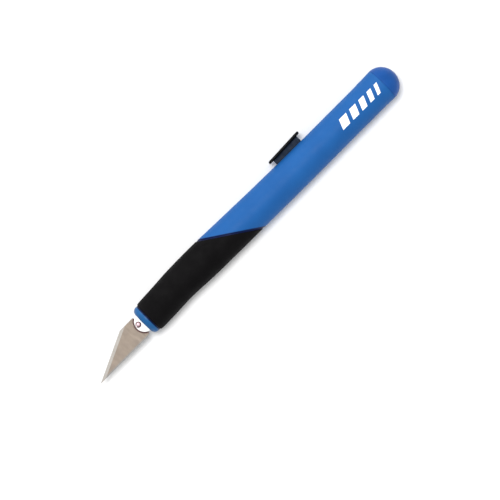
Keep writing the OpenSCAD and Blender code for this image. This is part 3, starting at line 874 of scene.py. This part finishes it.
# Rolled stainless strip and wire: bright grey with fine lines along the rolling.
springLook = {"colour": "#c9c9c6", "shade": "#b4b4b2", "layTurn": 0.0, "layScale": (0.08, 1.0, 1.0),
              "lineSize": 0.2, "cloudSize": 2.0, "roughness": (0.25, 0.38), "lineDepth": 0.002}
springSteel = groundSteel("stainless spring steel, rolled", springLook)

print("finishes on the parts that keep their CAD shape")
for name, material in {"blade": bladeSteel, "lock_rail": springSteel, "leaf_rivet": springSteel,
                       "jaw_screw": springSteel, "drive_pin": springSteel,
                       "slide_block": neckPlastic}.items():
    mesh = frame["nodes"][name].data
    mesh.materials.clear()
    mesh.materials.append(material)


coilShape = {"wireRadius": 0.17, "coils": 5, "perTurn": 40, "sides": 12}
# The leaf's underside as places along it and heights: flat foot, bump for the notch, low tail.
leafShape = {"thickness": 0.25, "x": [64.4, 67.4, 69.25, 70, 70.75, 71.9, 74.3],
             "y": [2.5, 2.5, 2.72, 3.22, 2.72, 1.72, 1.72], "step": 0.1, "columns": 9,
             "bendStart": 66.8, "bendEnd": 72.1}


# A circle carried along a helix that winds round Y, its two ends closed to a point.
def pressCoil():
    shape = coilShape
    low, high = (np.array([corner("button_spring", k, a) for a in range(3)]) for k in (0, 1))
    wire = shape["wireRadius"]
    middle, radius = (low + high) / 2, (high[2] - low[2]) / 2 - wire
    count = int(shape["coils"] * shape["perTurn"])
    share = np.linspace(0, 1, count + 1)
    share, size = np.r_[0, share, 1], np.r_[0, np.ones(count + 1), 0]
    turn = (fullTurn * shape["coils"] * share)[:, None]
    aroundWire = np.arange(shape["sides"]) * fullTurn / shape["sides"]
    out = radius + wire * size[:, None] * np.cos(aroundWire)
    rise = (high[1] - low[1] - 2 * wire) * share[:, None]
    y = low[1] + wire + rise + wire * size[:, None] * np.sin(aroundWire)
    points = np.stack([middle[0] + out * np.cos(turn), y, out * np.sin(turn)], -1)
    coil = makePiece("pressCoil", [(points, gridQuads(len(share), shape["sides"]))], "carriage",
                     springSteel, ["button_spring"])
    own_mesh(coil)


# A strip: its outline from the side carried across Z, and closed at both edges onto its middle line.
def lockLeaf():
    shape = leafShape
    x = np.unique(np.r_[np.arange(shape["x"][0], shape["x"][-1], shape["step"]), shape["x"]])
    under = np.interp(x, shape["x"], shape["y"])
    middle = under + shape["thickness"] / 2
    outlineX = np.r_[x, x[::-1]]
    outlineY = np.r_[under, under[::-1] + shape["thickness"]]
    middleY = np.r_[middle, middle[::-1]]
    low, high = corner("lock_leaf", 0, 2), corner("lock_leaf", 1, 2)
    z = np.linspace(low, high, shape["columns"])
    rows = [np.stack([outlineX, outlineY, at + 0 * outlineX], -1) for at in z]
    rows = [np.stack([outlineX, middleY, low + 0 * outlineX], -1), *rows,
            np.stack([outlineX, middleY, high + 0 * outlineX], -1)]
    leaf = makePiece("lockLeaf", [(np.array(rows), gridQuads(len(rows), len(outlineX)))], None,
                     springSteel, ["lock_leaf"])
    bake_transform(leaf)


print("press coil and lock leaf")
pressCoil()
lockLeaf()


# The stage is in metres. The floor just clears the handle, and a long lens looks straight down.
stageLook = {"floorZ": cadBounds[0][2] - 0.01 * mm, "floorHalf": 3.0, "paperFibre": 3 * mm,
             "viewWidth": 0.175, "distance": 0.9, "lookAt": (0.04437, -0.00818),
             "turn": math.radians(-45.055), "clip": (0.01, 20)}
lights = {"key": {"place": (0.05, 0.22, 1.15), "size": 0.38, "power": 9, "knifeOnly": False},
          "fill": {"place": (0.05, 0.9, 0.55), "size": 0.5, "power": 4, "knifeOnly": True}}
lightTarget = (0.05, 0, 0)


# Matte paper: white, with faint fibres and no shine.
def makeFloor():
    half, z = stageLook["floorHalf"], stageLook["floorZ"]
    mesh = bpy.data.meshes.new("floor")
    mesh.from_pydata([(-half, -half, z), (half, -half, z), (half, half, z), (-half, half, z)], [],
                     [(0, 1, 2, 3)])
    floor = bpy.data.objects.new("floor", mesh)
    bpy.context.scene.collection.objects.link(floor)
    paper, tree, shader, place = newMaterial("white paper, matte", {"Roughness": 0.9, "IOR": 1.4,
                                                                    "Specular IOR Level": 0.2})
    fibres = addNode(tree, "TexNoise", {"Scale": 1 / stageLook["paperFibre"], "Detail": 3.0},
                     {"Vector": place})
    tone = addNode(tree, "ValToRGB", {}, {"Fac": fibres.outputs["Fac"]})
    tone.color_ramp.elements[0].color = linear("#f4f4f4")
    tone.color_ramp.elements[1].color = linear("#f8f8f8")
    tree.links.new(tone.outputs["Color"], shader.inputs["Base Color"])
    mesh.materials.append(paper)


# The fill lights the knife and leaves the floor alone, so it adds no second shadow.
def softLight(name, settings):
    light = bpy.data.lights.new(name, "AREA")
    light.shape, light.size, light.energy = "DISK", settings["size"], settings["power"]
    lamp = bpy.data.objects.new(name, light)
    bpy.context.scene.collection.objects.link(lamp)
    lamp.location = settings["place"]
    lamp.rotation_mode = "QUATERNION"
    way = Vector(lightTarget) - Vector(settings["place"])
    lamp.rotation_quaternion = way.to_track_quat("-Z", "Y")
    if settings["knifeOnly"]:
        lit = bpy.data.collections.new("lit by " + name)
        for piece in bpy.data.objects:
            if piece.type == "MESH" and piece.name != "floor":
                lit.objects.link(piece)
        lamp.light_linking.receiver_collection = lit


print("floor, camera and light")
makeFloor()
scene = bpy.context.scene
camera = bpy.data.cameras.new("camera")
camera.lens = camera.sensor_width * stageLook["distance"] / stageLook["viewWidth"]
camera.clip_start, camera.clip_end = stageLook["clip"]
viewer = bpy.data.objects.new("camera", camera)
scene.collection.objects.link(viewer)
viewer.location = (*stageLook["lookAt"], stageLook["distance"])
viewer.rotation_euler = (0, 0, stageLook["turn"])
scene.camera = viewer
for name, settings in lights.items():
    softLight(name, settings)

# A light tent, darker overhead, where the camera looks in.
tent = {"strength": 0.9, "darkFrom": 0.5, "overhead": 0.6}
world = bpy.data.worlds.new("light tent")
world.use_nodes = True
tree = world.node_tree
tree.nodes.clear()
skyPlace = addNode(tree, "TexCoord", {}).outputs["Generated"]
way = addNode(tree, "SeparateXYZ", {}, {"Vector": skyPlace})
glow = addNode(tree, "MapRange", {"From Min": tent["darkFrom"], "From Max": 1.0,
                                  "To Min": tent["strength"],
                                  "To Max": tent["strength"] * tent["overhead"],
                                  "interpolation_type": "SMOOTHSTEP"},
               {"Value": way.outputs["Z"]})
sky = addNode(tree, "Background", {"Color": (1, 1, 1, 1)}, {"Strength": glow.outputs["Result"]})
addNode(tree, "OutputWorld", {}, {"Surface": sky.outputs["Background"]})
scene.world = world
scene.view_settings.view_transform = "Standard"
